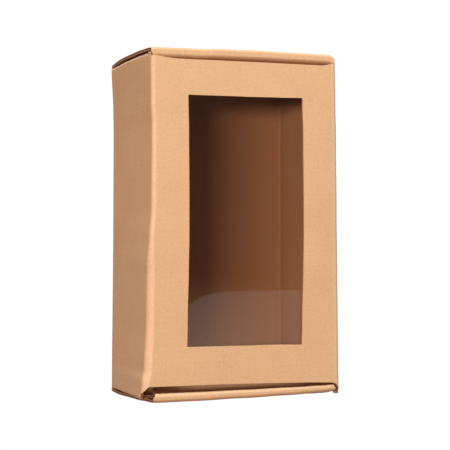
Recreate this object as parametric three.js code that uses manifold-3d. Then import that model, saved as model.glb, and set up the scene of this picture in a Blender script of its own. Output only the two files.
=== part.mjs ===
// Windowed tuck-end carton of fine corrugated board, in millimetres, +Z up.
// The front faces -Y, the width runs along X and the depth along Y.
// The origin is under the middle of the carton, on the surface that it stands on.
// The lid and the bottom flap hang on the back wall and tuck in behind the front wall.
import * as THREE from 'three';
import { mergeVertices } from 'three/addons/utils/BufferGeometryUtils.js';
import Module from 'manifold-3d';

const wasm = await Module();
wasm.setup();

// Board: two liners with a fluted medium between them, flutes along X
const board = 1.6;
const liner = 0.3;
const medium = 0.25;
const flutePitch = 3.3;

// Walls
const width = 118;
const depth = 86.4;
const wallHeight = 200;
const foldRadius = 2.4;
const seamWidth = 15;
const seamEndGap = 9;
const seamGroove = 0.4;
const seamGrooveDepth = 1.2;

// Front wall edges, measured from the fold lines of the side walls
const frontTopDrop = 3.4;
const frontBottomRise = 7;
const shoulderWidth = 8;
const shoulderRise = 0.5;
const notchWidth = 3.2;
const notchHeight = 4;

// Window and the film behind it
const windowWidth = 72;
const windowTopBand = 20.6;
const windowShift = 0.9;
const windowBottomBand = 22.5;
const windowCorner = 0.6;
const filmLap = 8;
const filmThickness = 0.2;
const glueLine = 0.1;

// Dust flaps on the side walls
const dustLength = 48;
const dustFoldRadius = 1.2;
const dustSpring = 1.5;
const dustFrontInset = 6.5;
const dustBackInset = 3;
const dustTaper = 9;
const dustCorner = 6;

// Lid and bottom flap
const creaseGap = 0.2;
const sideClearance = 0.7;
const backFoldRadius = 0.9;
const frontFoldRadius = 1.3;
const foldSetback = 0.3;
const undercutAngle = 55;
const returnRadius = 3;
const tuckSlant = 8.5;
const tuckCorner = 4;
const frontCornerRadius = 1.8;
const lidShape = {
  bowAngle: 6.7, flatRun: 0, bandHeight: 0, tuckRun: 13, shoulderStart: 0, shoulderEnd: 0.9, shoulder: 1.6, taper: 3.5,
};
const bottomShape = {
  bowAngle: 2.2, flatRun: 28, bandHeight: 4, tuckRun: 13, shoulderStart: 0.3, shoulderEnd: 6, shoulder: 3.6, taper: 2.5,
};

const arcStep = 12;
const bigArcSteps = 12;
const half = width / 2;
const frontY = -depth / 2;
const backY = depth / 2;
const flapWidth = width - 2 * sideClearance;

const toRadians = (degrees) => (degrees * Math.PI) / 180;

// A closed mesh becomes a solid that can be joined and cut
function toSolid(geometry) {
  const bare = geometry.clone();
  bare.deleteAttribute('normal');
  bare.deleteAttribute('uv');
  const merged = mergeVertices(bare, 1e-4);
  return new wasm.Manifold(new wasm.Mesh({
    numProp: 3,
    vertProperties: new Float32Array(merged.attributes.position.array),
    triVerts: new Uint32Array(merged.index.array),
  }));
}

function toGeometry(solid) {
  const mesh = solid.getMesh();
  const geometry = new THREE.BufferGeometry();
  geometry.setAttribute('position', new THREE.BufferAttribute(new Float32Array(mesh.vertProperties), 3));
  geometry.setIndex(new THREE.BufferAttribute(new Uint32Array(mesh.triVerts), 1));
  geometry.computeVertexNormals();
  return geometry;
}

// A flat outline becomes a prism. The matrix columns say where its two axes and its length go.
function prism(shape, length, uAxis, vAxis, origin) {
  const wAxis = new THREE.Vector3().crossVectors(uAxis, vAxis);
  const geometry = new THREE.ExtrudeGeometry(shape, { depth: length, bevelEnabled: false, curveSegments: 6 });
  const place = new THREE.Matrix4().makeBasis(uAxis, vAxis, wAxis).setPosition(origin);
  geometry.applyMatrix4(place);
  return toSolid(geometry);
}

const alongX = new THREE.Vector3(1, 0, 0);
const alongY = new THREE.Vector3(0, 1, 0);
const alongZ = new THREE.Vector3(0, 0, 1);

// Prism of a plan outline (x, y), from one height up to another
function planPrism(shape, low, high) {
  return prism(shape, high - low, alongX, alongY, new THREE.Vector3(0, 0, low));
}

// Prism of a front-view outline (x, z), from one depth back to another
function frontPrism(shape, nearY, farY) {
  return prism(shape, farY - nearY, alongX, alongZ, new THREE.Vector3(0, farY, 0));
}

function polygon(points) {
  return new THREE.Shape(points.map(([x, y]) => new THREE.Vector2(x, y)));
}

// Outline with straight sides and round corners: each entry is [x, y, corner radius]
function roundedOutline(corners) {
  const shape = new THREE.Shape();
  corners.forEach(([x, y, radius], i) => {
    const corner = new THREE.Vector2(x, y);
    const before = new THREE.Vector2(...corners[(i + corners.length - 1) % corners.length]);
    const after = new THREE.Vector2(...corners[(i + 1) % corners.length]);
    const arrive = before.sub(corner).normalize();
    const leave = after.sub(corner).normalize();
    const halfAngle = Math.acos(THREE.MathUtils.clamp(arrive.dot(leave), -1, 1)) / 2;
    const cut = radius / Math.tan(halfAngle);
    const first = corner.clone().addScaledVector(arrive, cut);
    const last = corner.clone().addScaledVector(leave, cut);
    if (i === 0) shape.moveTo(first.x, first.y);
    else shape.lineTo(first.x, first.y);
    if (radius > 0) shape.quadraticCurveTo(corner.x, corner.y, last.x, last.y);
  });
  shape.closePath();
  return shape;
}

// A folded board seen along its fold lines is a path of straights and arcs.
// u runs inwards from the outer face of the wall that carries it, v away from the carton.
// Heading 0 runs along +u, 90 along -v and -90 along +v. A move is [run] or [radius, turn].
function foldPath(start, heading, moves) {
  const stations = [{ u: start[0], v: start[1], heading, run: 0 }];
  const add = (length, turn) => {
    const last = stations.at(-1);
    const middle = toRadians(last.heading + turn / 2);
    const chord = turn === 0 ? length : (length * Math.sin(toRadians(turn / 2))) / toRadians(turn / 2);
    stations.push({
      u: last.u + chord * Math.cos(middle),
      v: last.v - chord * Math.sin(middle),
      heading: last.heading + turn,
      run: last.run + length,
    });
  };
  for (const [size, turn = 0] of moves) {
    if (size === 0) continue;
    const length = turn === 0 ? size : size * Math.abs(toRadians(turn));
    const steps = turn === 0 ? 1 : Math.max(Math.ceil(Math.abs(turn) / arcStep), length > 20 ? bigArcSteps : 1);
    for (let i = 0; i < steps; i += 1) add(length / steps, turn / steps);
  }
  return stations;
}

// Point at a distance along the path, moved sideways: a positive offset is the outer side
function pathPoint(path, run, offset) {
  let i = path.findIndex((station) => station.run >= run);
  if (i < 1) i = 1;
  const a = path[i - 1];
  const b = path[i];
  const t = (run - a.run) / (b.run - a.run);
  const heading = toRadians(a.heading + t * (b.heading - a.heading));
  return new THREE.Vector2(
    a.u + t * (b.u - a.u) + offset * Math.sin(heading),
    a.v + t * (b.v - a.v) + offset * Math.cos(heading),
  );
}

// Outline of the folded board, anticlockwise: the inner side along the path, the outer side back
function boardShape(path) {
  const side = (offset) => path.map((station) => new THREE.Vector2(
    station.u + offset * Math.sin(toRadians(station.heading)),
    station.v + offset * Math.cos(toRadians(station.heading)),
  ));
  return new THREE.Shape([...side(-board / 2), ...side(board / 2).reverse()]);
}

// Outlines of the open tunnels between the liners and the wavy medium, from one run to another
function fluteShapes(path, from, to) {
  const reach = board / 2 - liner;
  const foot = flutePitch / 2 - 1.8 * medium;
  const tip = 1.4 * medium;
  const count = Math.floor((to - from) / (flutePitch / 2)) - 1;
  const first = (from + to - (count - 1) * (flutePitch / 2)) / 2;
  return Array.from({ length: count }, (_, i) => {
    const middle = first + (i * flutePitch) / 2;
    const side = i % 2 === 0 ? 1 : -1;
    return new THREE.Shape([
      pathPoint(path, middle - foot, side * reach),
      pathPoint(path, middle + foot, side * reach),
      pathPoint(path, middle + tip, side * (medium - reach)),
      pathPoint(path, middle - tip, side * (medium - reach)),
    ]);
  });
}

// Heights above the ground: the bottom flap's lowest face is at 0
const flapRun = (flap) => {
  const endSlope = toRadians(flap.bowAngle);
  const startU = board / 2 + backFoldRadius * (1 - Math.sin(endSlope));
  const endU = depth - foldSetback - board / 2 - frontFoldRadius * (1 - Math.sin(endSlope));
  return { startU, endU, bowRadius: (endU - startU - flap.flatRun) / (2 * Math.sin(endSlope)) };
};
const flapHeight = (flap) => {
  const endSlope = toRadians(flap.bowAngle);
  const sag = flapRun(flap).bowRadius * (1 - Math.cos(endSlope));
  return creaseGap + backFoldRadius * Math.cos(endSlope) + sag + board / 2;
};
const lowFold = flapHeight(bottomShape);
const highFold = lowFold + wallHeight;
const frontTop = highFold - frontTopDrop;
const frontBottom = lowFold + frontBottomRise;
const windowLow = frontBottom + windowBottomBand;
const windowHigh = frontTop - windowTopBand;

// Lid or bottom flap: back fold, bowed panel, rolled front fold and tuck, all one board
function hingedFlap(flap, foldZ, up) {
  const { bowRadius } = flapRun(flap);
  const moves = [
    [backFoldRadius, 90 - flap.bowAngle],
    [bowRadius, flap.bowAngle],
    [flap.flatRun],
    [bowRadius, flap.bowAngle],
    [frontFoldRadius, 90 - flap.bowAngle],
    [flap.bandHeight],
    [frontFoldRadius, undercutAngle],
    [returnRadius, tuckSlant - undercutAngle],
    [flap.tuckRun],
  ];
  const path = foldPath([board / 2, creaseGap], -90, moves);
  const panelStart = backFoldRadius * toRadians(90 - flap.bowAngle);
  const panelEnd = panelStart + 2 * bowRadius * toRadians(flap.bowAngle) + flap.flatRun;
  const tuckEnd = path.at(-1).run;
  const flutes = [
    ...fluteShapes(path, panelStart, panelEnd),
    ...fluteShapes(path, tuckEnd - flap.tuckRun, tuckEnd - liner),
  ];
  const extruded = (shape, length) => prism(
    shape,
    length,
    new THREE.Vector3(0, -1, 0),
    new THREE.Vector3(0, 0, up),
    new THREE.Vector3((up * length) / 2, backY, foldZ),
  );
  let body = extruded(boardShape(path), flapWidth);
  for (const flute of flutes) body = body.subtract(extruded(flute, width));
  return body.intersect(tuckKeep(flap, path, foldZ, up)).intersect(flapPlan());
}

// Front view of a flap: full width above the shoulders, then the tapered tuck with round corners
function tuckKeep(flap, path, foldZ, up) {
  const tipDrop = -path.at(-1).v + board;
  const edge = flapWidth / 2;
  const outline = [
    [edge + 1, board * 8, 0],
    [edge + 1, -flap.shoulderStart, 0],
    [edge, -flap.shoulderStart, 0],
    [edge - flap.shoulder, -flap.shoulderEnd, 0],
    [edge - flap.shoulder - flap.taper, -tipDrop, tuckCorner],
  ];
  const mirrored = outline.map(([x, v, radius]) => [-x, v, radius]).reverse();
  const corners = [...outline, ...mirrored].map(([x, v, radius]) => [x, foldZ + up * v, radius]);
  return frontPrism(roundedOutline(corners), frontY - board, backY + board);
}

// Plan of a flap, with the front corners rounded off
function flapPlan() {
  const edge = flapWidth / 2;
  const corners = [
    [-edge, frontY - foldSetback, frontCornerRadius],
    [edge, frontY - foldSetback, frontCornerRadius],
    [edge, backY + board, 0],
    [-edge, backY + board, 0],
  ];
  return planPrism(roundedOutline(corners), lowFold - 20, highFold + 20);
}

// Dust flap, folded in from a side wall, with tapered edges
function dustFlap(side, foldZ, up) {
  const wallPiece = 2 * foldRadius;
  const moves = [[wallPiece], [dustFoldRadius, 90 + dustSpring], [dustLength]];
  const start = [board / 2, -board / 2 - dustFoldRadius - wallPiece];
  const path = foldPath(start, -90, moves);
  const length = depth - dustFrontInset - dustBackInset;
  const along = side * up;
  const body = prism(
    boardShape(path),
    length,
    new THREE.Vector3(-side, 0, 0),
    new THREE.Vector3(0, 0, up),
    new THREE.Vector3(side * half, (frontY + dustFrontInset + backY - dustBackInset - along * length) / 2, foldZ),
  );
  const tip = half - dustLength - 2 * board;
  const corners = [
    [side * (half + board), frontY + dustFrontInset, 0],
    [side * (half - board), frontY + dustFrontInset, 0],
    [side * tip, frontY + dustFrontInset + dustTaper, dustCorner],
    [side * tip, backY - dustBackInset - dustTaper, dustCorner],
    [side * (half - board), backY - dustBackInset, 0],
    [side * (half + board), backY - dustBackInset, 0],
  ];
  return body.intersect(planPrism(roundedOutline(corners), lowFold - 20, highFold + 20));
}

// Four walls around the inside, with round vertical folds
function wallTube() {
  const outline = (inset, radius) => roundedOutline([
    [-half + inset, frontY + inset, radius],
    [half - inset, frontY + inset, radius],
    [half - inset, backY - inset, radius],
    [-half + inset, backY - inset, radius],
  ]);
  const shape = outline(0, foldRadius);
  shape.holes.push(outline(board, foldRadius - board));
  return planPrism(shape, lowFold, highFold);
}

// What is cut from the tube's front: the stepped top edge, the notched bottom edge and the window
function frontCuts() {
  const near = frontY - board;
  const far = frontY + foldRadius + creaseGap;
  const beyond = half + board;
  const inner = half - shoulderWidth;
  const top = polygon([
    [-beyond, frontTop + shoulderRise],
    [-inner, frontTop + shoulderRise],
    [-inner + shoulderRise, frontTop],
    [inner - shoulderRise, frontTop],
    [inner, frontTop + shoulderRise],
    [beyond, frontTop + shoulderRise],
    [beyond, highFold + board],
    [-beyond, highFold + board],
  ]);
  const bottom = polygon([
    [-half + notchWidth, frontBottom],
    [-half, frontBottom - notchHeight],
    [-beyond, frontBottom - notchHeight],
    [-beyond, lowFold - board],
    [beyond, lowFold - board],
    [beyond, frontBottom - notchHeight],
    [half, frontBottom - notchHeight],
    [half - notchWidth, frontBottom],
  ]);
  const opening = roundedOutline([
    [windowShift - windowWidth / 2, windowLow, windowCorner],
    [windowShift + windowWidth / 2, windowLow, windowCorner],
    [windowShift + windowWidth / 2, windowHigh, 0],
    [windowShift - windowWidth / 2, windowHigh, 0],
  ]);
  return [frontPrism(top, near, far), frontPrism(bottom, near, far), frontPrism(opening, near, far)];
}

// Room for a dust flap's fold: the top or bottom edge of the side wall goes
function dustFoldCut(side, foldZ, up) {
  const inner = half - foldRadius;
  const corners = [
    [side * inner, frontY + dustFrontInset],
    [side * (half + board), frontY + dustFrontInset],
    [side * (half + board), backY - dustBackInset],
    [side * inner, backY - dustBackInset],
  ];
  const reach = board / 2 + dustFoldRadius;
  const low = up > 0 ? foldZ - reach : foldZ - board;
  const high = up > 0 ? foldZ + board : foldZ + reach;
  return planPrism(polygon(corners), low, high);
}

// Seam flap, glued inside the left wall, and the groove where that wall's cut edge ends
function seamFlap() {
  const low = lowFold + seamEndGap;
  const high = highFold - seamEndGap;
  const rear = backY - board / 2;
  const slant = seamWidth / 2;
  const side = polygon([[rear, low], [rear, high], [rear - seamWidth, high - slant], [rear - seamWidth, low + slant]]);
  return prism(side, board + glueLine, alongY, alongZ, new THREE.Vector3(-half + board - glueLine, 0, 0));
}

function seamGrooveCut() {
  const rear = backY - foldRadius;
  const corners = [
    [-half - board, rear - seamGroove],
    [-half + seamGrooveDepth, rear - seamGroove],
    [-half + seamGrooveDepth, rear],
    [-half - board, rear],
  ];
  return planPrism(polygon(corners), lowFold - board, highFold + board);
}

function cartonBody() {
  let solid = wallTube();
  const folds = [];
  for (const side of [-1, 1]) {
    folds.push([side, lowFold, -1], [side, highFold, 1]);
  }
  for (const fold of folds) solid = solid.subtract(dustFoldCut(...fold));
  for (const fold of folds) solid = solid.add(dustFlap(...fold));
  solid = solid.add(seamFlap()).subtract(seamGrooveCut());
  for (const cut of frontCuts()) solid = solid.subtract(cut);
  return solid;
}

// Clear film, glued to the inner face of the front wall all round the window
function windowFilm() {
  const near = frontY + board + glueLine;
  const corners = [
    [windowShift - windowWidth / 2 - filmLap, windowLow - filmLap],
    [windowShift + windowWidth / 2 + filmLap, windowLow - filmLap],
    [windowShift + windowWidth / 2 + filmLap, windowHigh + filmLap],
    [windowShift - windowWidth / 2 - filmLap, windowHigh + filmLap],
  ];
  return frontPrism(polygon(corners), near, near + filmThickness);
}

const kraft = new THREE.MeshStandardMaterial({ color: 0xd3a47c, roughness: 0.85, metalness: 0 });
const film = new THREE.MeshStandardMaterial({
  color: 0xf4f6f6, roughness: 0.06, metalness: 0, transparent: true, opacity: 0.15,
});

function addPiece(group, name, solid, material) {
  const mesh = new THREE.Mesh(toGeometry(solid), material);
  mesh.name = name;
  group.add(mesh);
}

const carton = new THREE.Group();
addPiece(carton, 'carton_body', cartonBody(), kraft);
addPiece(carton, 'top_lid', hingedFlap(lidShape, highFold, 1), kraft);
addPiece(carton, 'bottom_flap', hingedFlap(bottomShape, lowFold, -1), kraft);
addPiece(carton, 'window_film', windowFilm(), film);

export default carton;
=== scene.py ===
"""Windowed kraft carton: its visible pieces, their finishes, and the photo's white set."""

import logging
from collections.abc import Callable, Sequence
from dataclasses import dataclass, field
from enum import Enum
from typing import Any

import bmesh
import bpy
import numpy as np
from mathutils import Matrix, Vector

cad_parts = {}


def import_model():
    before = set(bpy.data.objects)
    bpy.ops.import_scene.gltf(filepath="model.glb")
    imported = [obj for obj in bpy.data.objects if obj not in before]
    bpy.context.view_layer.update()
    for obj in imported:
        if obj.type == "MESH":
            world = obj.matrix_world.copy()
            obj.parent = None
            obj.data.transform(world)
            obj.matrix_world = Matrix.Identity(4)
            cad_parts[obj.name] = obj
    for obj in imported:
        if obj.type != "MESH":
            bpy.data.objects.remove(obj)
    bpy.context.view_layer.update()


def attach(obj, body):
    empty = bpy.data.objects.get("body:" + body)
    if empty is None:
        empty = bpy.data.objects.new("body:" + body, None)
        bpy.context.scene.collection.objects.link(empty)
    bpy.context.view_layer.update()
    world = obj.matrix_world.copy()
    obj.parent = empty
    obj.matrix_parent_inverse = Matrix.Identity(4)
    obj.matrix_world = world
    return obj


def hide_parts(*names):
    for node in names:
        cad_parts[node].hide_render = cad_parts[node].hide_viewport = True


Array = np.ndarray
Material = bpy.types.Material
Node = bpy.types.ShaderNode
Object = bpy.types.Object
Socket = bpy.types.NodeSocket
Floats = tuple[float, ...]
Pair = tuple[float, float]
Triple = tuple[float, float, float]
Colour = tuple[float, float, float, float]
Counts = tuple[int, int, int]

log = logging.getLogger("windowed_carton")

MM = 0.001
TINY = 1e-9
WELD_DISTANCE = 2e-6
SHARP_ANGLE = np.radians(38)

# Shares of the darker tone of cut cores: painted shade on the carton's inner faces, a liner's cut edge, the
# medium's, and the recessed middle, which is partly painted shade in the flute tunnels
INNER_SHADE = 0.8
LINER_EDGE = 0.35
MEDIUM_EDGE = 0.55
CORE_AND_TUNNEL_SHADE = 1.0

# Largest distance in mm and turn in degrees between two stations of a folded board
STATION_STEP = 0.4
STATION_TURN = 8

# Turn in radians per mm from which a fold gets its full painted highlight or painted shade
FULL_FOLD_LIGHT = 0.8

# Recess of an edge cut across the flutes, and a hinged panel's distance from its front fold
END_RECESS = 0.3
FOLD_MARGIN = 2.5

# Parts of the walls' plan
FRONT, SIDE, BACK = 0, 1, 2


class Body(str, Enum):
    """The frame's moving bodies."""

    WALLS = "body"
    LID = "lid"
    BOTTOM = "bottom"


class Slot(str, Enum):
    """Names of the two materials that fill the pieces' material slots."""

    KRAFT = "kraft_board"
    FILM = "clear_film"


# Geometry helpers


def smooth(share: Array) -> Array:
    """A share t from 0 to 1, made level at both ends: 3t^2 - 2t^3."""
    return share * share * (3 - 2 * share)


def ease(at: Array, stations: Sequence[float], values: Sequence[float]) -> Array:
    """Value at each place between stations, flat at every station.

    Args:
        at: Places to read.
        stations: Rising places where the value is known.
        values: The value at each station.

    Returns:
        The values at those places.
    """
    places = np.asarray(stations, dtype=float)
    known = np.asarray(values, dtype=float)
    left = np.clip(np.searchsorted(places, at, side="right") - 1, 0, len(places) - 2)
    share = smooth(np.clip((at - places[left]) / (places[left + 1] - places[left]), 0, 1))
    return known[left] + share * (known[left + 1] - known[left])


def ripple(a: Array, b: Array, wavelength: float, phase: float) -> Array:
    """Gentle unevenness over two coordinates: three crossing sine waves, from -1 to 1.

    Args:
        a: First coordinate, in mm.
        b: Second coordinate, in mm.
        wavelength: Length of the longest wave, in mm.
        phase: Start of the waves, so that two sheets differ.

    Returns:
        The mean of the three waves.
    """
    k = 2 * np.pi / wavelength
    first = np.sin(k * (0.9 * a + 0.4 * b) + phase)
    second = np.sin(k * (1.4 * b - 0.5 * a) + 2.1 * phase)
    third = np.sin(k * (1.9 * a + 1.2 * b) + 3.7 * phase)
    return (first + second + third) / 3


def unit(vectors: Array) -> Array:
    """Vectors made one long along their last axis."""
    return vectors / np.maximum(np.linalg.norm(vectors, axis=-1, keepdims=True), TINY)


def rounding(from_tip: Array, radius: float, roundness: float) -> Array:
    """How far a round corner brings an edge in, at each distance from the tip, in mm."""
    inside = np.clip((radius - from_tip) / radius, 0, 1)
    return radius * (1 - np.sqrt(np.clip(1 - inside**2, 0, 1))) * roundness


def fade_ends(count: int, value: float, steps: int = 3) -> Array:
    """The value all along a line, falling to 0 over the first and last few points."""
    place = np.arange(count)
    return value * np.clip(np.minimum(place, count - 1 - place) / steps, 0, 1)


@dataclass
class MeshPlan:
    """Grids of points in mm, joined into one closed mesh with two UV maps.

    The map "board" holds mm along and across the flutes. The map "tone" holds how much
    of a face has the darker tone of cut cores and painted shade, and the painted light
    on folds: up to 1 for a painted highlight, down to -1 for painted shade.
    """

    name: str
    points: list[Array] = field(default_factory=list)
    quads: list[Array] = field(default_factory=list)
    board: list[Array] = field(default_factory=list)
    tone: list[Array] = field(default_factory=list)
    count: int = 0

    def grid(
        self,
        points: Array,
        board: Array,
        core_and_shade: float | Array = 0.0,
        painted_fold_light: float | Array = 0.0,
        keep: Array | None = None,
    ) -> None:
        """Adds a grid of quads.

        Args:
            points: Rows by columns by three, in mm.
            board: Rows by columns by two, mm along and across the flutes.
            core_and_shade: Share of the darker tone, 0 on a liner, 1 in a cut edge's recess, part way where
                it paints shade.
            painted_fold_light: 0 on flat board, 1 for a painted highlight on a fold, -1 for painted shade
                on one.
            keep: Which quads to keep, all where left out.
        """
        rows, columns = points.shape[:2]
        index = np.arange(rows * columns).reshape(rows, columns)
        quads = np.stack([index[:-1, :-1], index[:-1, 1:], index[1:, 1:], index[1:, :-1]], -1)
        quads = quads.reshape(-1, 4) if keep is None else quads[keep]
        tone = np.stack([np.broadcast_to(value, (rows, columns)) for value in (core_and_shade, painted_fold_light)], -1)
        self.points.append(points.reshape(-1, 3))
        self.quads.append(quads + self.count)
        self.board.append(board.reshape(-1, 2))
        self.tone.append(tone.reshape(-1, 2))
        self.count += rows * columns

    def strip(self, lines: Sequence[Array], along: Array, core_and_shade: float) -> None:
        """Adds the strip between lines of points that run side by side."""
        points = np.stack(lines)
        board = np.stack([np.broadcast_to(along, points.shape[:2]), np.zeros(points.shape[:2])], -1)
        self.grid(points, board, core_and_shade)

    def build(self, material: Material) -> Object:
        """Makes the object: welds the grids, turns faces outward, shades it smooth by angle."""
        points = np.concatenate(self.points) * MM
        quads = np.concatenate(self.quads)
        mesh = bpy.data.meshes.new(self.name)
        mesh.from_pydata(points, [], quads)
        corners = quads.reshape(-1)
        for name, values in (("board", self.board), ("tone", self.tone)):
            layer = mesh.uv_layers.new(name=name)
            layer.data.foreach_set("uv", np.concatenate(values)[corners].reshape(-1))
        work = bmesh.new()
        work.from_mesh(mesh)
        bmesh.ops.remove_doubles(work, verts=work.verts, dist=WELD_DISTANCE)
        bmesh.ops.dissolve_degenerate(work, edges=work.edges, dist=WELD_DISTANCE / 2)
        bmesh.ops.recalc_face_normals(work, faces=work.faces)
        work.to_mesh(mesh)
        work.free()
        mesh.shade_smooth()
        mesh.set_sharp_from_angle(angle=SHARP_ANGLE)
        mesh.materials.append(material)
        obj = bpy.data.objects.new(self.name, mesh)
        bpy.context.scene.collection.objects.link(obj)
        return obj


# The board and its cut edges


@dataclass(frozen=True)
class Board:
    """Fine corrugated board: two liners and a wavy medium between them, in mm."""

    thickness: float = 1.6
    liner: float = 0.3
    medium: float = 0.25
    pitch: float = 3.3
    medium_setback: float = 0.06

    @property
    def wave(self) -> float:
        """How far the medium's middle swings to each side."""
        return self.thickness / 2 - self.liner - self.medium / 2

    def rim(self, plan: MeshPlan, outer: Array, inner: Array, inward: Array, depth: Array) -> None:
        """Adds a cut edge between the board's faces: a liner, the recessed middle painted dark, partly as
        shade in the flute tunnels, and a liner.

        Args:
            plan: The mesh that it goes to.
            outer: Line of points on the outer face's edge.
            inner: The same on the inner face's edge.
            inward: Direction into the board at each point.
            depth: How deep the recessed middle lies at each point, in mm.
        """
        across = unit(inner - outer) * self.liner
        sunk = inward * depth[:, None]
        along = np.concatenate([[0], np.cumsum(np.linalg.norm(np.diff(outer, axis=0), axis=1))])
        first, last = outer + across, inner - across
        plan.strip([outer, first], along, LINER_EDGE)
        # The recessed middle takes the full darker tone, partly painted shade in the flute tunnels
        plan.strip([first, first + sunk, last + sunk, last], along, CORE_AND_TUNNEL_SHADE)
        plan.strip([last, inner], along, LINER_EDGE)

    def end_rims(self, plan: MeshPlan, outer: Array, inner: Array) -> None:
        """Adds the cut edges along the first and the last row of the faces."""
        for row, step in ((0, 1), (-1, -2)):
            inward = unit(outer[step] - outer[row])
            self.rim(plan, outer[row], inner[row], inward, fade_ends(len(inward), END_RECESS, 1))

    def flutes(
        self,
        plan: MeshPlan,
        outer: Array,
        inner: Array,
        inward: Array,
        run: Array,
        depth: float,
    ) -> None:
        """Adds the medium's wavy edge, a closed ribbon in the recessed middle, its sides and back painted
        dark as shade in the flute tunnels.

        Its middle line swings across the board as a sine of the run, one wave a pitch.

        Args:
            plan: The mesh that it goes to.
            outer: Line of points on the outer face's edge.
            inner: The same on the inner face's edge.
            inward: Direction into the board at each point.
            run: Distance along the edge at each point, in mm.
            depth: How deep the ribbon goes, in mm.
        """
        middle, across = (outer + inner) / 2, unit(outer - inner)
        swing = self.wave * np.sin(2 * np.pi * run / self.pitch)
        high = middle + across * (swing + self.medium / 2)[:, None]
        low = middle + across * (swing - self.medium / 2)[:, None]
        start = inward * self.medium_setback
        sunk = inward * depth
        ring = [high + start, low + start, low + sunk, high + sunk, high + start]
        plan.strip(ring[:2], run, MEDIUM_EDGE)
        # The ribbon's sides and back take the full darker tone as painted shade in the flute tunnels
        plan.strip(ring[1:], run, CORE_AND_TUNNEL_SHADE)
        for end in (0, -1):
            cap = np.stack([np.stack([ring[0][end], ring[1][end]]), np.stack([ring[3][end], ring[2][end]])])
            plan.grid(cap, np.zeros((2, 2, 2)), CORE_AND_TUNNEL_SHADE)


@dataclass(frozen=True)
class Section:
    """Stations along a folded board, seen along its fold lines.

    u runs inwards from the outer face of the wall that carries it, v away from the
    carton. Heading 0 runs along u, and a positive turn goes towards the carton.
    """

    u: Array
    v: Array
    heading: Array
    run: Array

    @classmethod
    def fold(cls, start: Pair, heading: float, moves: Sequence[Pair]) -> "Section":
        """Follows straight runs and arcs.

        Args:
            start: First u and v, in mm.
            heading: First heading, in degrees.
            moves: (length, 0) for a straight run, (radius, turn in degrees) for an arc.

        Returns:
            Stations no further apart than a station step or a station turn.
        """
        u, v = [np.array([start[0]])], [np.array([start[1]])]
        angle, run = [np.radians([heading])], [np.zeros(1)]
        for size, turn in moves:
            first = angle[-1][-1]
            if turn == 0:
                share = np.linspace(0, 1, max(2, int(np.ceil(size / STATION_STEP)) + 1))[1:]
                length = size * share
                along = np.full_like(share, first)
                step_u, step_v = length * np.cos(first), -length * np.sin(first)
            else:
                sweep = np.radians(turn)
                by_turn = int(np.ceil(abs(turn) / STATION_TURN))
                count = max(by_turn, int(np.ceil(size * abs(sweep) / STATION_STEP)))
                along = first + sweep * np.linspace(0, 1, count + 1)[1:]
                length = size * np.abs(along - first)
                radius = size * np.sign(sweep)
                step_u = radius * (np.sin(along) - np.sin(first))
                step_v = radius * (np.cos(along) - np.cos(first))
            u.append(u[-1][-1] + step_u)
            v.append(v[-1][-1] + step_v)
            angle.append(along)
            run.append(run[-1][-1] + length)
        return cls(*(np.concatenate(parts) for parts in (u, v, angle, run)))

    def side(self, offset: float) -> tuple[Array, Array]:
        """u and v of the line that lies an offset to the outer side."""
        return self.u + offset * np.sin(self.heading), self.v + offset * np.cos(self.heading)


Place = Callable[[Array, Array, Array, Array], Array]


@dataclass
class FoldedPanel:
    """One folded sheet of board with cut edges at both ends of its flutes.

    Attributes:
        board: The board that it is made of.
        section: Its stations.
        low: Lower end of the flutes at each station, in mm.
        high: Upper end of the flutes at each station.
        place: Puts u, v, w and run in the row frame, in mm, w running along the flutes.
        columns: Points along the flutes.
        recess: How deep the flutes show at the cut edges, in mm.
        painted_fold_light: Painted light on the folds, from -1 for painted shade to 1 for a painted
            highlight.
        painted_shade_from: Run from which the outer face is painted in the darker tone as shade, in mm.
        ribbon_margin: Stations at each end of a side edge without the medium's ribbon.
        ribbon_share: How far into the recess the ribbon reaches, as a share of it.
    """

    board: Board
    section: Section
    low: Array
    high: Array
    place: Place
    columns: int = 48
    recess: float = 2.2
    painted_fold_light: float = 1.0
    painted_shade_from: float = np.inf
    ribbon_margin: int = 4
    ribbon_share: float = 0.97

    def add_to(self, plan: MeshPlan) -> None:
        """Adds the two faces, the fluted side edges and the end edges."""
        half = self.board.thickness / 2
        share = np.linspace(0, 1, self.columns)
        w = self.low[:, None] + (self.high - self.low)[:, None] * share
        run = np.broadcast_to(self.section.run[:, None], w.shape)
        turning = np.abs(np.gradient(self.section.heading, self.section.run))
        # Painted light on the folds, growing with how sharply the board turns
        painted_fold_light = self.painted_fold_light * np.clip(turning / FULL_FOLD_LIGHT, 0, 1)[:, None]
        board = np.stack([w, run], -1)
        # Painted shade: past its start the outer face takes the darker tone, over a mm
        painted_tuck_shade = np.clip(self.section.run - self.painted_shade_from, 0, 1)[:, None]
        faces = []
        for offset in (half, -half):
            u, v = (line[:, None] + 0 * w for line in self.section.side(offset))
            faces.append(self.place(u, v, w, run))
            # The inner face gets the inner share of the darker tone as painted shade, the outer face
            # painted shade on the tuck
            plan.grid(faces[-1], board, painted_tuck_shade if offset > 0 else INNER_SHADE, painted_fold_light)
        outer, inner = faces
        for column, step in ((0, 1), (-1, -2)):
            inward = unit(outer[:, step] - outer[:, column])
            depth = fade_ends(len(outer), self.recess)
            self.board.rim(plan, outer[:, column], inner[:, column], inward, depth)
            body = slice(self.ribbon_margin, -self.ribbon_margin)
            edges = outer[body, column], inner[body, column], inward[body]
            self.board.flutes(plan, *edges, self.section.run[body], self.recess * self.ribbon_share)
        self.board.end_rims(plan, outer, inner)


# The carton's own measures


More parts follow.
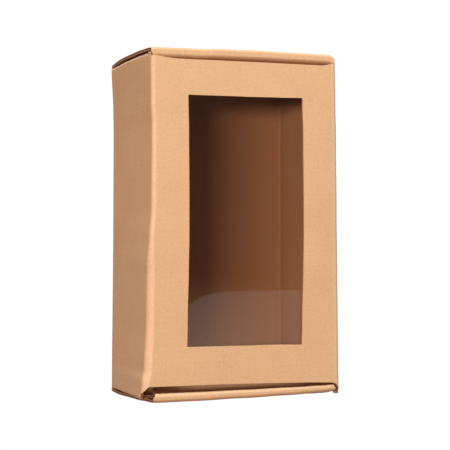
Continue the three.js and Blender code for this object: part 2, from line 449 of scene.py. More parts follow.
@dataclass(frozen=True)
class Carton:
    """Sizes that the pieces share, in mm, the same as the frame's."""

    width: float = 118.0
    depth: float = 86.4
    low_fold: float = 2.4215
    high_fold: float = 202.4215
    fold_radius: float = 2.4
    side_clearance: float = 0.7
    crease_gap: float = 0.2
    window_left: float = -35.1
    window_right: float = 36.9
    window_low: float = 31.92
    window_high: float = 178.42
    dust_front_inset: float = 6.5
    dust_back_inset: float = 3.0
    board: Board = Board()

    @property
    def half(self) -> float:
        """Half of the width."""
        return self.width / 2

    @property
    def front(self) -> float:
        """y of the front wall's outer face."""
        return -self.depth / 2

    @property
    def back(self) -> float:
        """y of the back wall's outer face."""
        return self.depth / 2


@dataclass(frozen=True)
class Settling:
    """How the standing carton leans and bulges away from its straight frame.

    Each list gives the shift along X, in mm, at the heights listed first. A ripple is
    its swing, its longest wave and its phase. The rises lift the back left corner and
    the left side's middle over the lift heights.
    """

    heights: Floats = (0, 12, 19, 46, 80, 96, 112, 160, 172, 204)
    front_left: Floats = (-3.9, -2.9, -1.5, -0.3, 0.2, 1.3, 2.4, 2.6, 2.0, 1.8)
    back_left: Floats = (1.8, 1.8, 1.8, 2.0, 2.2, 2.3, 2.3, 2.4, 2.2, 0.9)
    window_left: Floats = (-0.5, -0.5, -0.5, -0.1, 0.6, 0.9, 0.9, 0.6, 0.3, 0.0)
    window_right: Floats = (-0.8, -0.8, -0.8, -0.3, 0.6, 0.9, 0.9, 0.6, 0.2, -0.2)
    front_right: Floats = (2.3, 2.1, 1.9, 1.6, 1.3, 1.1, 1.0, 0.7, 0.4, 0.1)
    back_right: Floats = (-0.4, -0.4, -0.5, -0.6, -0.6, -0.6, -0.6, -0.5, -0.4, -0.3)
    bulge: float = 0.3
    bulge_span: float = 1.1
    front_ripple: Triple = (0.09, 60, 0.7)
    side_ripple: Triple = (0.14, 52, 1.9)
    back_left_rise: float = 1.5
    left_rise: float = 0.9
    lift_heights: Pair = (130, 200)

    def move(self, points: Array, carton: Carton) -> Array:
        """Shifts points of the walls.

        The shift along X is read at the four upright folds and the window's two sides
        and runs smoothly between them. The walls bulge by a half sine over the height,
        and a faint ripple keeps them from looking machined.

        Args:
            points: Points on the straight walls, in mm, three to each.
            carton: The carton's sizes.

        Returns:
            The shifted points.
        """
        x, y, z = np.moveaxis(points, -1, 0)
        names = ("front_left", "back_left", "window_left", "window_right", "front_right", "back_right")
        read = {name: ease(z, self.heights, getattr(self, name)) for name in names}
        places = (-carton.half, carton.window_left, carton.window_right, carton.half)
        columns = (read["front_left"], read["window_left"], read["window_right"], read["front_right"])
        front = np.zeros_like(x)
        for i in range(3):
            share = smooth(np.clip((x - places[i]) / (places[i + 1] - places[i]), 0, 1))
            inside = (x >= places[i]) | (i == 0)
            front = np.where(inside, columns[i] + share * (columns[i + 1] - columns[i]), front)
        side = np.clip((x + carton.half) / carton.width, 0, 1)
        back = read["back_left"] + side * (read["back_right"] - read["back_left"])
        rear = np.clip((y - carton.front) / carton.depth, 0, 1)
        shift_x = front + rear * (back - front)
        height = np.clip((z - carton.low_fold) / (carton.high_fold - carton.low_fold), 0, 1)
        swell = np.sin(np.pi * height) * np.cos(np.pi * x / (carton.width * self.bulge_span))
        shift_y = np.where(y < 0, -1.0, 1.0) * self.bulge * swell * (2 * rear - 1) ** 2
        swing, wavelength, phase = self.front_ripple
        shift_y = shift_y + swing * ripple(x, z, wavelength, phase) * np.sin(np.pi * height)
        flat = np.sin(np.pi * rear) * np.where(x < 0, -1.0, 1.0)
        swing, wavelength, phase = self.side_ripple
        shift_x = shift_x + swing * ripple(y, z, wavelength, phase) * flat
        lift = self.back_left_rise * rear + self.left_rise * np.sin(np.pi * rear)
        shift_z = lift * ease(z, self.lift_heights, (0, 1)) * (1 - side)
        return points + np.stack([shift_x, shift_y, shift_z], -1)


# Finishes


@dataclass
class NodeKit:
    """Short ways to add and link shader nodes of one material."""

    material: Material

    @classmethod
    def new(cls, name: str) -> "NodeKit":
        """A material with nodes, empty but for its output and Principled shader."""
        material = bpy.data.materials.new(name)
        material.use_nodes = True
        return cls(material)

    @property
    def shader(self) -> Node:
        """The Principled shader."""
        return self.material.node_tree.nodes["Principled BSDF"]

    def add(self, kind: str, links: dict[str | int, Any] | None = None, **settings: Any) -> Node:
        """Adds a node.

        Args:
            kind: Node type without its ShaderNode prefix.
            links: Input name or number to an output socket, or to a plain value.
            settings: The node's own properties.

        Returns:
            The node.
        """
        node = self.material.node_tree.nodes.new("ShaderNode" + kind)
        for name, value in settings.items():
            setattr(node, name, value)
        for name, value in (links or {}).items():
            self.feed(node.inputs[name], value)
        return node

    def feed(self, socket: Socket, value: Any) -> None:
        """Links an output socket to an input, or sets its plain value."""
        if isinstance(value, Socket):
            self.material.node_tree.links.new(value, socket)
        else:
            socket.default_value = value

    def math(self, operation: str, *values: Any) -> Socket:
        """A Math node's result."""
        return self.add("Math", dict(enumerate(values)), operation=operation).outputs[0]

    def span(self, value: Any, low: float, high: float, to_low: float, to_high: float) -> Socket:
        """A value carried from one range to another and kept inside it."""
        links = {"Value": value, "From Min": low, "From Max": high, "To Min": to_low, "To Max": to_high}
        return self.add("MapRange", links).outputs["Result"]

    def noise(self, vector: Any, scale: float, detail: float, rough: float) -> Socket:
        """A noise texture's value."""
        links = {"Vector": vector, "Scale": scale, "Detail": detail, "Roughness": rough}
        return self.add("TexNoise", links).outputs["Fac"]

    def mix(self, factor: Any, first: Any, second: Any, blend: str = "MIX") -> Socket:
        """A colour mixed from two."""
        node = self.add("Mix", data_type="RGBA", blend_type=blend)
        for name, value in (("Factor_Float", factor), ("A_Color", first), ("B_Color", second)):
            socket = next(s for s in node.inputs if s.identifier == name)
            self.feed(socket, value)
        return next(s for s in node.outputs if s.identifier == "Result_Color")


@dataclass(frozen=True)
class KraftFinish:
    """Uncoated brown liner with fibres, cloudy tone, faint flutes and darker cut cores; the darker tone
    also paints shade in flute tunnels, on inner faces and on the tuck, and folds get painted highlights or
    painted shade.

    Scales are those of noise textures, for the strands upright and level. Ranges are
    the noise values used, and shares say how much of a colour is mixed in.
    """

    face: Colour = (0.62, 0.375, 0.212, 1)
    # Darker brown of cut cores, also used as painted shade on inner faces, the tuck and in flute tunnels
    core_and_shade: Colour = (0.33, 0.146, 0.069, 1)
    fibre: Colour = (0.36, 0.21, 0.12, 1)
    # Pale colour of painted highlights on folds
    painted_fold_light: Colour = (0.78, 0.52, 0.36, 1)
    # Dark colour of painted shade on the lid's folds
    painted_roll_shade: Colour = (0.44, 0.255, 0.14, 1)
    roughness: float = 0.86
    flute_pitch: float = 3.3
    flute_height: float = 0.009
    wave_height: float = 0.5
    wave_light: Pair = (0.996, 1.003)
    cloud: float = 0.03
    cloud_scale: float = 26
    speckle: float = 0.1
    grain_scale: float = 900
    grain_height: float = 0.35
    noise_range: Pair = (0.3, 0.7)
    upright_scale: Triple = (700, 700, 110)
    level_scale: Triple = (120, 120, 900)
    strand_range: Pair = (0.60, 0.82)
    strand_share: float = 0.3
    painted_fold_light_share: float = 0.4
    painted_roll_shade_share: float = 0.6
    specular: float = 0.22

    def build(self) -> Material:
        """Makes the material."""
        kit = NodeKit.new("kraft_board")
        here = kit.add("TexCoord").outputs["Object"]
        across = kit.add("SeparateXYZ", {0: kit.add("UVMap", uv_map="board").outputs[0]}).outputs[1]
        tone = kit.add("SeparateXYZ", {0: kit.add("UVMap", uv_map="tone").outputs[0]})
        cloud = kit.noise(here, self.cloud_scale, detail=4, rough=0.6)
        grain = kit.noise(here, self.grain_scale, detail=4, rough=0.7)
        fibres = []
        for scale in (self.upright_scale, self.level_scale):
            stretched = kit.add("Mapping", {"Vector": here, "Scale": scale}).outputs[0]
            fibres.append(kit.noise(stretched, 1, detail=3, rough=0.6))
        strand = kit.math("MAXIMUM", *fibres)
        colour = kit.mix(kit.span(strand, *self.strand_range, 0, self.strand_share), self.face, self.fibre)
        light = kit.span(cloud, *self.noise_range, 1 - self.cloud, 1 + self.cloud)
        specks = kit.span(grain, *self.noise_range, 1 - self.speckle, 1 + self.speckle)
        light = kit.math("MULTIPLY", light, specks)
        wave = kit.math("SINE", kit.math("MULTIPLY", across, 2 * np.pi / self.flute_pitch))
        light = kit.math("MULTIPLY", light, kit.span(wave, -1, 1, *self.wave_light))
        shade = kit.add("CombineXYZ", {0: light, 1: light, 2: light}).outputs[0]
        # Painted highlight on folds, in the pale colour
        colour = kit.mix(kit.span(tone.outputs[1], 0, 1, 0, self.painted_fold_light_share), colour, self.painted_fold_light)
        # Painted shade on folds, in the dark colour
        colour = kit.mix(kit.span(tone.outputs[1], 0, -1, 0, self.painted_roll_shade_share), colour, self.painted_roll_shade)
        colour = kit.mix(1.0, colour, shade, "MULTIPLY")
        # Darker tone of cut cores, which also paints shade on inner faces, the tuck and in flute tunnels
        colour = kit.mix(tone.outputs[0], colour, self.core_and_shade)
        waves = kit.math("MULTIPLY", wave, self.wave_height)
        height = kit.math("ADD", waves, kit.math("MULTIPLY", grain, self.grain_height))
        bump = kit.add("Bump", {"Height": height, "Distance": self.flute_height * MM, "Strength": 1.0})
        kit.feed(kit.shader.inputs["Base Color"], colour)
        kit.feed(kit.shader.inputs["Normal"], bump.outputs[0])
        kit.shader.inputs["Roughness"].default_value = self.roughness
        kit.shader.inputs["Specular IOR Level"].default_value = self.specular
        return kit.material


@dataclass(frozen=True)
class FilmFinish:
    """Clear glossy film: a faint mirror that lets nearly all light through."""

    tint: Colour = (0.96, 0.97, 0.98, 1)
    share: float = 0.016
    roughness: float = 0.015

    def build(self) -> Material:
        """Makes the material."""
        kit = NodeKit.new("clear_film")
        kit.shader.inputs["Base Color"].default_value = self.tint
        kit.shader.inputs["Metallic"].default_value = 1.0
        kit.shader.inputs["Roughness"].default_value = self.roughness
        kit.shader.inputs["Alpha"].default_value = self.share
        return kit.material


# Pieces


@dataclass
class Piece:
    """What the pieces that settle with the walls share."""

    carton: Carton
    settling: Settling
    material: Material


@dataclass
class Walls(Piece):
    """Four walls from one folded sheet, with the window and its cut edges.

    The walls are two grids of points, outer and inner, around the carton and up it.
    Columns meet the window's sides, and rows its top and bottom. The run row's lengths
    give the board map, and the turn row shows where the folds are. Left and right radii
    are those of the two front folds.
    """

    top_places: Floats = (-59, -52, -49.7, -40, -10, 20, 50, 53.5, 56.4, 59)
    top_heights: Floats = (200.3, 199.9, 199.3, 198.9, 199.1, 199.3, 199.4, 200.1, 200.8, 200.3)
    bottom_places: Floats = (-59, -55.8, -30, 0, 30, 45, 55.8, 59)
    bottom_heights: Floats = (5.4, 9.5, 9.8, 10.0, 9.8, 9.5, 9.1, 5.3)
    window_places: Floats = (-50, -35, 0, 20, 37, 50)
    window_top_rise: Floats = (0.0, -0.25, 0.05, 0.4, 0.8, 0.0)
    window_bottom_rise: Floats = (0.0, 0.0, 0.2, 0.45, 0.2, 0.0)
    left_radius_heights: Floats = (0, 72, 98, 204)
    left_radii: Floats = (4.3, 4.2, 2.5, 2.3)
    right_radius_heights: Floats = (0, 40, 204)
    right_radii: Floats = (2.9, 2.5, 2.3)
    row_steps: Counts = (14, 79, 12)
    front_columns: Counts = (11, 36, 12)
    side_columns: Counts = (3, 36, 2)
    back_columns: int = 46
    corner_steps: int = 10
    run_row: int = 40
    turn_row: int = 60
    # Turn in degrees at which an upright fold gets its full painted highlight
    full_fold_light_turn: float = 9.0
    dust_reach: float = 2.0
    dust_step: float = 0.15
    shallow_recess: float = 0.35
    window_recess: float = 1.6
    ribbon_depth: float = 1.5
    ribbon_points: int = 480

    @property
    def marks(self) -> Floats:
        """Heights that rows meet: the low fold, the window's bottom and top, the high fold."""
        c = self.carton
        return (c.low_fold, c.window_low, c.window_high, c.high_fold)

    def radii(self, z: Array) -> Array:
        """Radius of each upright fold at each height: front left, front right, back right, back left."""
        even = np.full_like(z, self.carton.fold_radius)
        front_left = ease(z, self.left_radius_heights, self.left_radii)
        front_right = ease(z, self.right_radius_heights, self.right_radii)
        return np.stack([front_left, front_right, even, even])

    def outline(self, inset: float, z: Array) -> tuple[Array, Array]:
        """Plan of the walls at each height, as rows by columns by two, and each column's part.

        Args:
            inset: Distance in from the outer faces, in mm.
            z: Height of each row.

        Returns:
            The points, from the front's left end around by the right, and the part that
            each column is on. The front and the back include their folds.
        """
        c = self.carton
        radii = self.radii(z)
        edge_x, front, back = c.half - inset, c.front + inset, c.back - inset
        parts: list[Array] = []
        kinds: list[Array] = []

        def straight(start: tuple, end: tuple, count: int, kind: int, last: bool = True) -> None:
            """Adds evenly spaced columns along a wall, with or without the last one."""
            share = np.linspace(0, 1, count, endpoint=last)[None, :]
            ends = [np.broadcast_to(value, z.shape)[:, None] for value in (*start, *end)]
            x = ends[0] + share * (ends[2] - ends[0])
            y = ends[1] + share * (ends[3] - ends[1])
            parts.append(np.stack([x, y], -1))
            kinds.append(np.full(count, kind))

        def corner(side_x: int, side_y: int, radius: Array, first: float, kind: int) -> None:
            """Adds the columns of a quarter turn, without its ends."""
            angle = np.radians(first + np.linspace(0, 90, self.corner_steps + 1)[1:-1])[None, :]
            mid_x = side_x * (c.half - radius)
            mid_y = side_y * (c.depth / 2 - radius)
            small = (radius - inset)[:, None]
            x = mid_x[:, None] + small * np.cos(angle)
            y = mid_y[:, None] + small * np.sin(angle)
            parts.append(np.stack([x, y], -1))
            kinds.append(np.full(angle.size, kind))

        left_end, right_end = -c.half + radii[0], c.half - radii[1]
        before, across, beyond = self.front_columns
        near, middle, far = self.side_columns
        step = self.dust_step
        stops = (c.front + c.dust_front_inset, c.back - c.dust_back_inset)
        straight((left_end, front), (c.window_left, front), before, FRONT, last=False)
        straight((c.window_left, front), (c.window_right, front), across, FRONT, last=False)
        straight((c.window_right, front), (right_end, front), beyond, FRONT)
        corner(1, -1, radii[1], -90, FRONT)
        straight((edge_x, c.front + radii[1]), (edge_x, stops[0]), near, SIDE)
        straight((edge_x, stops[0] + step), (edge_x, stops[1] - step), middle, SIDE)
        straight((edge_x, stops[1]), (edge_x, c.back - radii[2]), far, SIDE)
        corner(1, 1, radii[2], 0, BACK)
        straight((c.half - radii[2], back), (-c.half + radii[3], back), self.back_columns, BACK)
        corner(-1, 1, radii[3], 90, BACK)
        straight((-edge_x, c.back - radii[3]), (-edge_x, stops[1]), far, SIDE)
        straight((-edge_x, stops[1] - step), (-edge_x, stops[0] + step), middle, SIDE)
        straight((-edge_x, stops[0]), (-edge_x, c.front + radii[0]), near, SIDE)
        corner(-1, -1, radii[0], 180, FRONT)
        points = np.concatenate(parts, axis=1)
        return np.concatenate([points, points[:, :1]], axis=1), np.concatenate([*kinds, kinds[0][:1]])

    def heights(self, points: Array, kinds: Array, nominal: Array) -> Array:
        """Height of each point: rows below and above the window stretch to the cut edges."""
        c = self.carton
        x, y = points[..., 0], points[..., 1]
        on_front = kinds == FRONT
        dust = (kinds == SIDE) & (y > c.front + c.dust_front_inset) & (y < c.back - c.dust_back_inset)
        reach = np.where(dust, self.dust_reach, 0.0)
        top = np.where(on_front, ease(x, self.top_places, self.top_heights), c.high_fold - reach)
        front_bottom = np.interp(x, self.bottom_places, self.bottom_heights)
        bottom = np.where(on_front, front_bottom, c.low_fold + reach)
        low = c.window_low + on_front * ease(x, self.window_places, self.window_bottom_rise)
        high = c.window_high + on_front * ease(x, self.window_places, self.window_top_rise)
        marks = self.marks
        z = np.broadcast_to(nominal[:, None], x.shape)
        shares = [np.clip((z - marks[i]) / (marks[i + 1] - marks[i]), 0, 1) for i in range(3)]
        return bottom + shares[0] * (low - bottom) + shares[1] * (high - low) + shares[2] * (top - high)

    def build(self) -> Object:
        """Makes the walls."""
        c = self.carton
        board = c.board
        marks = self.marks
        spans = zip(marks[:-1], marks[1:], self.row_steps)
        bands = [np.linspace(low, high, steps + 1)[:-1] for low, high, steps in spans]
        rows = np.concatenate([*bands, marks[-1:]])
        first_row = self.row_steps[0]
        last_row = first_row + self.row_steps[1]
        plan = MeshPlan("carton_walls")
        faces = []
        for inset in (0.0, board.thickness):
            flat, kinds = self.outline(inset, rows)
            z = self.heights(flat, kinds, rows)
            points = np.concatenate([flat, z[..., None]], -1)
            faces.append(self.settling.move(points, c))
        outer, inner = faces
        steps = np.linalg.norm(np.diff(outer[self.run_row], axis=0), axis=1)
        around = np.concatenate([[0], np.cumsum(steps)])
        uv = np.stack([np.broadcast_to(around, z.shape), z], -1)
        columns = len(around)
        first_column = self.front_columns[0]
        last_column = first_column + self.front_columns[1]
        keep = np.ones((len(rows) - 1, columns - 1), dtype=bool)
        keep[first_row:last_row, first_column:last_column] = False
        # Painted highlight on the upright folds, from how sharply the outer face turns
        turn = np.zeros(columns)
        direction = unit(np.diff(outer[self.turn_row], axis=0)[:, :2])
        turning = np.degrees(np.arccos(np.clip((direction[1:] * direction[:-1]).sum(-1), -1, 1)))
        turn[1:-1] = np.clip(turning / self.full_fold_light_turn, 0, 1)
        # Outer face: painted highlight on the upright folds; inner face: the darker tone as painted shade
        for face, shade, painted_fold_highlight in ((outer, 0.0, turn), (inner, INNER_SHADE, 0 * turn)):
            plan.grid(face, uv, shade, painted_fold_highlight, keep)
        down, up = np.array([0, 0, -1.0]), np.array([0, 0, 1.0])
        open_edge = np.where(kinds == FRONT, self.shallow_recess, 0.0)
        for row, inward in ((0, up), (-1, down)):
            line = np.broadcast_to(inward, outer[row].shape)
            board.rim(plan, outer[row], inner[row], line, open_edge)
        self.window_edges(plan, outer, inner, (first_row, last_row), (first_column, last_column))
        obj = plan.build(self.material)
        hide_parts("carton_body")
        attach(obj, Body.WALLS.value)
        return obj

    def window_edges(
        self,
        plan: MeshPlan,
        outer: Array,
        inner: Array,
        rows: tuple[int, int],
        columns: tuple[int, int],
    ) -> None:
        """Adds the window's cut edges, with open flutes on its two upright sides."""
        board = self.carton.board
        across_window = slice(columns[0], columns[1] + 1)
        up_window = slice(rows[0], rows[1] + 1)
        for row, direction in ((rows[0], -1.0), (rows[1], 1.0)):
            line = outer[row, across_window]
            inward = np.broadcast_to([0, 0, direction], line.shape)
            recess = fade_ends(len(line), self.shallow_recess, 1)
            board.rim(plan, line, inner[row, across_window], inward, recess)
        for column, direction in ((columns[0], -1.0), (columns[1], 1.0)):
            line = outer[up_window, column]
            other = inner[up_window, column]
            inward = np.broadcast_to([direction, 0, 0], line.shape)
            board.rim(plan, line, other, inward, fade_ends(len(line), self.window_recess, 1))
            fine = np.linspace(line[1, 2], line[-2, 2], self.ribbon_points)
            near = np.stack([np.interp(fine, line[:, 2], line[:, i]) for i in range(3)], -1)
            far = np.stack([np.interp(fine, other[:, 2], other[:, i]) for i in range(3)], -1)
            straight_in = np.broadcast_to([direction, 0, 0], near.shape)
            board.flutes(plan, near, far, straight_in, fine, self.ribbon_depth)


@dataclass(frozen=True)
class FlapShape:
    """How the lid or the bottom flap is bent and cut, in mm and degrees.

    The rise lists lift the flap's front edge, in mm towards +Z, at places along X. The
    left insets bring its left edge in, at shares of the way from the back to the front.
    The back left rise lifts that corner, fading over the corner run and the corner
    span. The tuck follows a share of the front edge's rise. Faint waves fade towards
    both folds. From the lit share of the undercut on, the outer face is painted in the
    darker tone as shade under the front roll.
    """

    bow: float
    flat_run: float
    band: float
    shoulder_start: float
    shoulder_end: float
    shoulder: float
    taper: float
    rise_places: Floats
    rise: Floats
    tuck_follows: float
    left_inset: Floats
    back_left_rise: float
    # Painted light on the folds: a highlight above 0, shade below 0
    painted_fold_light: float
    undercut: float
    return_radius: float
    slant: float
    wave_phase: float
    wave_swing: float = 0.12
    wave_length: float = 46.0
    wave_fades: Pair = (12.0, 8.0)
    inset_shares: Floats = (0, 0.3, 0.65, 1)
    corner_run: Pair = (4, 50)
    corner_span: Pair = (-58, 0)
    lit_share: float = 0.55
    level_run: float = 40.0
    tuck_run: float = 13.0
    back_radius: float = 0.9
    front_radius: float = 1.3
    setback: float = 0.3
    tuck_corner: float = 4.0
    corner_roundness: float = 0.9

    def front_lift(self, x: Array, run: Array, panel_end: float) -> Array:
        """Height that the panel gains towards its front edge, in mm.

        It's the rise at x times the square of how far the run has come from the level
        part to the panel's end.
        """
        forward = np.clip((run - self.level_run) / (panel_end - self.level_run), 0, 1)
        return ease(x, self.rise_places, self.rise) * forward**2


LID_SHAPE = FlapShape(
    bow=6.7,
    flat_run=0.0,
    band=1.8,
    shoulder_start=1.2,
    shoulder_end=4.6,
    shoulder=3.0,
    taper=2.7,
    rise_places=(-58.3, -54, -30, -14, 15, 50, 56, 58.3),
    rise=(0.5, 1.0, 1.3, 1.9, 2.2, 2.2, 2.1, 0.5),
    tuck_follows=0.0,
    left_inset=(0.9, 0.9, 1.0, 1.2),
    back_left_rise=1.5,
    # Painted shade on the lid's folds
    painted_fold_light=-0.6,
    undercut=82.0,
    return_radius=2.0,
    slant=14.0,
    wave_phase=2.7,
)
BOTTOM_SHAPE = FlapShape(
    bow=2.2,
    flat_run=28.0,
    band=1.1,
    shoulder_start=0.3,
    shoulder_end=6.0,
    shoulder=3.6,
    taper=2.5,
    rise_places=(-58.3, -54, -30, 0, 30, 50, 58.3),
    rise=(-0.1, -0.4, -0.05, 0.75, 1.75, 2.7, 3.5),
    tuck_follows=0.66,
    left_inset=(1.4, 0.6, 1.1, 2.8),
    back_left_rise=0.0,
    # Painted highlight on the bottom flap's folds
    painted_fold_light=0.4,
    undercut=86.0,
    return_radius=2.5,
    slant=80.0,
    wave_phase=4.4,
)


@dataclass
class DustFlap(Piece):
    """A flap folded in from a side wall, under the lid or over the bottom flap.

    A lower flap is pushed up where the bottom flap's front edge rises.
    """

    side: int
    upper: bool
    length: float = 48.0
    fold_radius: float = 1.2
    fold_allowance: float = 2.0
    spring: float = 1.5
    taper: float = 9.0
    corner: float = 6.0
    corner_roundness: float = 0.8
    push_run: float = 6.0

    def build(self) -> Object:
        """Makes the flap."""
        c = self.carton
        fold_z = c.high_fold if self.upper else c.low_fold
        up = 1.0 if self.upper else -1.0
        half_board = c.board.thickness / 2
        moves = [(self.fold_radius, 90 + self.spring), (self.length - self.corner, 0), (self.corner, 0)]
        section = Section.fold((half_board, -half_board - self.fold_radius), -90, moves)
        from_tip = section.run[-1] - section.run
        flat = np.clip((section.u - 2 * half_board) / (self.length - self.fold_allowance), 0, 1)
        rounded = rounding(from_tip, self.corner, self.corner_roundness)
        low = c.front + c.dust_front_inset + self.taper * flat + rounded
        high = c.back - c.dust_back_inset - self.taper * flat - rounded

        def place(u: Array, v: Array, w: Array, run: Array) -> Array:
            """Puts the flap's stations at its side wall, with the wall's lean."""
            wall = np.stack([self.side * (c.half + 0 * u), w, fold_z + 0 * u], -1)
            lean = self.settling.move(wall, c) - wall
            share = np.clip(1 - u / c.half, 0, 1)
            x = self.side * (c.half - u)
            pushed = 0 * u
            if not self.upper:
                rise = BOTTOM_SHAPE.front_lift(x, c.back - w, c.depth - FOLD_MARGIN)
                pushed = np.clip(rise, 0, None) * np.clip(u / self.push_run, 0, 1)
            point = np.stack([x, w, fold_z + up * v + pushed], -1)
            return point + lean * share[..., None] * np.array([1.0, 0, 1.0])

        label = ("upper" if self.upper else "lower") + ("_left" if self.side < 0 else "_right")
        plan = MeshPlan(f"dust_flap_{label}")
        # The dust flap's folds get a full painted highlight
        FoldedPanel(c.board, section, low, high, place, columns=40, recess=1.6).add_to(plan)
        obj = plan.build(self.material)
        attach(obj, Body.WALLS.value)
        return obj


@dataclass
class SeamFlap(Piece):
    """The narrow flap glued inside the left wall, at the back."""

    width: float = 15.0
    end_gap: float = 9.0
    back_gap: float = 0.05
    side_gap: float = 0.02
    side_recess: float = 0.5
    rows: int = 120
    columns: int = 12

    def build(self) -> Object:
        """Makes the flap as a thin slab with slanted ends."""
        c = self.carton
        thick = c.board.thickness
        share = np.linspace(0, 1, self.rows)[:, None]
        forward = np.linspace(0, 1, self.columns)[None, :]
        rear = c.back - thick - self.back_gap
        y = rear - (self.width - thick / 2) * forward + 0 * share
        slant = self.width / 2 * forward
        low = c.low_fold + self.end_gap + slant
        high = c.high_fold - self.end_gap - slant
        z = low + share * (high - low)
        plan = MeshPlan("seam_flap")
        faces = []
        for depth in (2 * thick, thick + self.side_gap):
            points = np.stack([-c.half + depth + 0 * y, y, z], -1)
            faces.append(self.settling.move(points, c))
            # Both faces of the seam flap get the darker tone as painted shade
            plan.grid(faces[-1], np.stack([y, z], -1), INNER_SHADE)
        outer, inner = faces
        c.board.end_rims(plan, outer, inner)
        for column, step in ((0, 1), (-1, -2)):
            inward = unit(outer[:, step] - outer[:, column])
            recess = fade_ends(self.rows, self.side_recess, 1)
            c.board.rim(plan, outer[:, column], inner[:, column], inward, recess)
        obj = plan.build(self.material)
        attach(obj, Body.WALLS.value)
        return obj


@dataclass
class HingedFlap:
    """Lid or bottom flap: back fold, bowed panel, round front roll and tuck."""

    carton: Carton
    material: Material
    shape: FlapShape
    name: str
    body: Body
    node: str
    upper: bool

    def section(self) -> Section:
        """The flap's stations, from the back wall's edge to the tuck's end."""
        s, c = self.shape, self.carton
        slope = np.sin(np.radians(s.bow))
        half_board = c.board.thickness / 2
        start = half_board + s.back_radius * (1 - slope)
        end = c.depth - s.setback - half_board - s.front_radius * (1 - slope)
        radius = (end - start - s.flat_run) / (2 * slope)
        moves = [
            (s.back_radius, 90 - s.bow),
            (radius, s.bow),
            (s.flat_run, 0),
            (radius, s.bow),
            (s.front_radius, 90 - s.bow),
            (s.band, 0),
            (s.front_radius, s.undercut),
            (s.return_radius, s.slant - s.undercut),
            (s.tuck_run, 0),
        ]
        return Section.fold((half_board, c.crease_gap), -90, [move for move in moves if move[0] > 0])

    def edge(self, section: Section) -> Array:
        """Half the flap's width at each station, narrower in the tuck and round at its corners."""
        s, c = self.shape, self.carton
        full = c.half - c.side_clearance
        places = (section.v[-1], -s.shoulder_end, -s.shoulder_start)
        widths = (full - s.shoulder - s.taper, full - s.shoulder, full)
        width = np.interp(section.v, places, widths)
        return width - rounding(section.run[-1] - section.run, s.tuck_corner, s.corner_roundness)

    def build(self) -> Object:
        """Makes the flap."""
        s, c = self.shape, self.carton
        section = self.section()
        edge = self.edge(section)
        fold_z = c.high_fold if self.upper else c.low_fold
        up = 1.0 if self.upper else -1.0
        front_run = section.run[np.argmax(section.u)]
        forward = np.clip(section.run / front_run, 0, 1)
        left = -edge + ease(forward, s.inset_shares, s.left_inset)
        panel_end = front_run - FOLD_MARGIN
        roll_end = front_run + s.band + s.front_radius * np.radians(s.undercut)
        tuck_end = roll_end + s.return_radius * np.radians(s.undercut - s.slant)
        drop_start = roll_end if self.upper else front_run

        def place(u: Array, v: Array, w: Array, run: Array) -> Array:
            """Puts the flap's stations at the back wall, with its lift and waves."""
            in_tuck = np.clip((run - drop_start) / (tuck_end - drop_start), 0, 1)
            lift = s.front_lift(w, run, panel_end) * (1 - (1 - s.tuck_follows) * in_tuck)
            waves = s.wave_swing * ripple(w, run, s.wave_length, s.wave_phase)
            corner = s.back_left_rise * ease(run, s.corner_run, (1, 0)) * ease(w, s.corner_span, (1, 0))
            back_fade, front_fade = s.wave_fades
            free = np.clip(run / back_fade, 0, 1) * np.clip((front_run - run) / front_fade, 0, 1)
            return np.stack([w, c.back - u, fold_z + up * v + lift + corner + waves * free], -1)

        plan = MeshPlan(self.name)
        # Painted shade on the tuck's outer face, from part way round the undercut on
        painted_shade_from = front_run + s.band + s.front_radius * np.radians(s.undercut) * s.lit_share
        panel = FoldedPanel(c.board, section, left, edge, place, painted_fold_light=s.painted_fold_light, painted_shade_from=painted_shade_from)
        panel.add_to(plan)
        obj = plan.build(self.material)
        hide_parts(self.node)
        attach(obj, self.body.value)
        return obj


@dataclass
class WindowFilm(Piece):
    """Clear film glued behind the window, very slightly warped where it's free."""

    lap: float = 8.0
    thickness: float = 0.2
    glue: float = 0.1
    tilt: float = 0.0065
    tilt_height: float = 56.0
    tilt_reach: float = 18.0
    tilt_fade: float = 14.0
    rows: int = 150
    columns: int = 90

    def build(self) -> Object:
        """Makes the film as a thin closed sheet.

        Beside the window's left edge its height slope is the tilt, dying away along X
        over the tilt fade and up and down over the tilt reach.
        """
        c = self.carton
        x = np.linspace(c.window_left - self.lap, c.window_right + self.lap, self.columns)[None, :]
        z = np.linspace(c.window_low - self.lap, c.window_high + self.lap, self.rows)[:, None]
        x, z = x + 0 * z, z + 0 * x
        from_left = np.clip(x - c.window_left, 0, None)
        up = z - self.tilt_height
        fade = np.exp(-from_left / self.tilt_fade)
        warp = self.tilt * up * np.exp(-((up / self.tilt_reach) ** 2)) * fade
        near = c.front + c.board.thickness + self.glue
        plan = MeshPlan("window_film_sheet")
        sheets = []
        for y in (near, near + self.thickness):
            wall = self.settling.move(np.stack([x, c.front + 0 * x, z], -1), c)
            points = np.stack([wall[..., 0], y + warp, z], -1)
            sheets.append(points)
            plan.grid(points, np.stack([x, z], -1))
        first, second = sheets
        for row in (0, -1):
            plan.strip([first[row], second[row]], x[0], 0.0)
        for column in (0, -1):
            plan.strip([first[:, column], second[:, column]], z[:, 0], 0.0)
        obj = plan.build(self.material)
        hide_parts("window_film")
        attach(obj, Body.WALLS.value)
        return obj


# The set


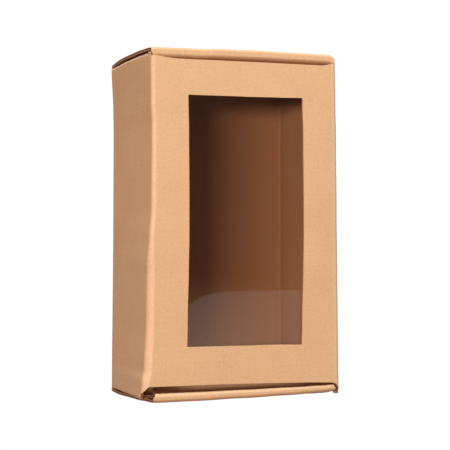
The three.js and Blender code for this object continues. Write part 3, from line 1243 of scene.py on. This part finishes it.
@dataclass(frozen=True)
class Softbox:
    """An area light aimed at the carton.

    Its place is given as seen from the carton: azimuth from straight ahead towards the
    left and elevation in degrees, distance, width and height in metres. Power is in watts.
    """

    name: str
    azimuth: float
    elevation: float
    distance: float
    width: float
    height: float
    power: float
    colour: Triple
    target: Triple = (0.0, 0.0, 0.1)

    def build(self) -> Object:
        """Makes the light and turns it to its target."""
        light = bpy.data.lights.new(self.name, "AREA")
        light.energy = self.power
        light.color = self.colour
        light.shape = "RECTANGLE"
        light.size = self.width
        light.size_y = self.height
        obj = bpy.data.objects.new(self.name, light)
        across, up = np.radians(self.azimuth), np.radians(self.elevation)
        away = Vector((-np.sin(across) * np.cos(up), -np.cos(across) * np.cos(up), np.sin(up)))
        obj.location = Vector(self.target) + away * self.distance
        obj.rotation_euler = (-away).to_track_quat("-Z", "Y").to_euler()
        bpy.context.scene.collection.objects.link(obj)
        return obj


@dataclass(frozen=True)
class GlowPlane:
    """A flat white sheet of the set that shines evenly, such as an overlit floor."""

    name: str
    corners: tuple[Triple, ...]
    strength: float

    def build(self) -> Object:
        """Makes the sheet and its material."""
        mesh = bpy.data.meshes.new(self.name)
        mesh.from_pydata(self.corners, [], [tuple(range(len(self.corners)))])
        kit = NodeKit.new(self.name)
        kit.shader.inputs["Base Color"].default_value = (0, 0, 0, 1)
        kit.shader.inputs["Specular IOR Level"].default_value = 0.0
        kit.shader.inputs["Emission Color"].default_value = (1, 1, 1, 1)
        kit.shader.inputs["Emission Strength"].default_value = self.strength
        mesh.materials.append(kit.material)
        obj = bpy.data.objects.new(self.name, mesh)
        obj.visible_diffuse = False
        bpy.context.scene.collection.objects.link(obj)
        return obj


@dataclass(frozen=True)
class PhotoSet:
    """Camera, lights, white floor and backdrop."""

    camera_position: Triple = (-0.289633, -0.812154, 0.073714)
    yaw: float = 19.837
    pitch: float = 2.027
    lens: float = 112.0
    sensor: float = 36.0
    clip: Pair = (0.01, 60.0)
    world: float = 0.18
    world_colour: Triple = (1.0, 0.77, 0.55)
    floor_front: float = -5.4
    floor_back: float = 3.2
    half_width: float = 4.5
    backdrop_top: float = 4.0
    floor_glow: float = 1.02
    backdrop_glow: float = 1.04
    lights: tuple[Softbox, ...] = (
        Softbox("high_key", 6, 66, 1.95, 1.0, 1.0, 64, (0.82, 0.96, 1.0)),
        Softbox("low_left", 39, 1.2, 1.9, 0.9, 0.2, 26, (1.0, 0.78, 0.63)),
    )

    def build(self) -> None:
        """Builds the set around the carton."""
        scene = bpy.context.scene
        data = bpy.data.cameras.new("photo_camera")
        data.lens = self.lens
        data.sensor_width = self.sensor
        data.clip_start, data.clip_end = self.clip
        camera = bpy.data.objects.new("photo_camera", data)
        camera.location = self.camera_position
        camera.rotation_euler = (np.radians(90 + self.pitch), 0.0, -np.radians(self.yaw))
        scene.collection.objects.link(camera)
        scene.camera = camera
        scene.view_settings.view_transform = "Standard"
        world = bpy.data.worlds.new("surroundings")
        world.use_nodes = True
        background = world.node_tree.nodes["Background"]
        background.inputs["Color"].default_value = (*self.world_colour, 1)
        background.inputs["Strength"].default_value = self.world
        scene.world = world
        near, far, side, top = self.floor_front, self.floor_back, self.half_width, self.backdrop_top
        ground = ((-side, near, 0.0), (side, near, 0.0), (side, far, 0.0), (-side, far, 0.0))
        wall = ((-side, far, 0.0), (side, far, 0.0), (side, far, top), (-side, far, top))
        GlowPlane("white_floor", ground, self.floor_glow).build()
        GlowPlane("white_backdrop", wall, self.backdrop_glow).build()
        for light in self.lights:
            light.build()


def main() -> None:
    logging.basicConfig(level=logging.INFO, format="%(name)s: %(message)s")
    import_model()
    carton = Carton()
    settling = Settling()
    kraft = KraftFinish().build()
    film = FilmFinish().build()
    pieces: list[Any] = [
        Walls(carton, settling, kraft),
        *(DustFlap(carton, settling, kraft, side, upper) for side in (-1, 1) for upper in (False, True)),
        SeamFlap(carton, settling, kraft),
        HingedFlap(carton, kraft, LID_SHAPE, "lid_board", Body.LID, "top_lid", True),
        HingedFlap(carton, kraft, BOTTOM_SHAPE, "bottom_board", Body.BOTTOM, "bottom_flap", False),
        WindowFilm(carton, settling, film),
    ]
    for piece in pieces:
        obj = piece.build()
        log.info("%s: %d faces", obj.name, len(obj.data.polygons))
    PhotoSet().build()
    log.info("set built")


if __name__ == "__main__":
    main()
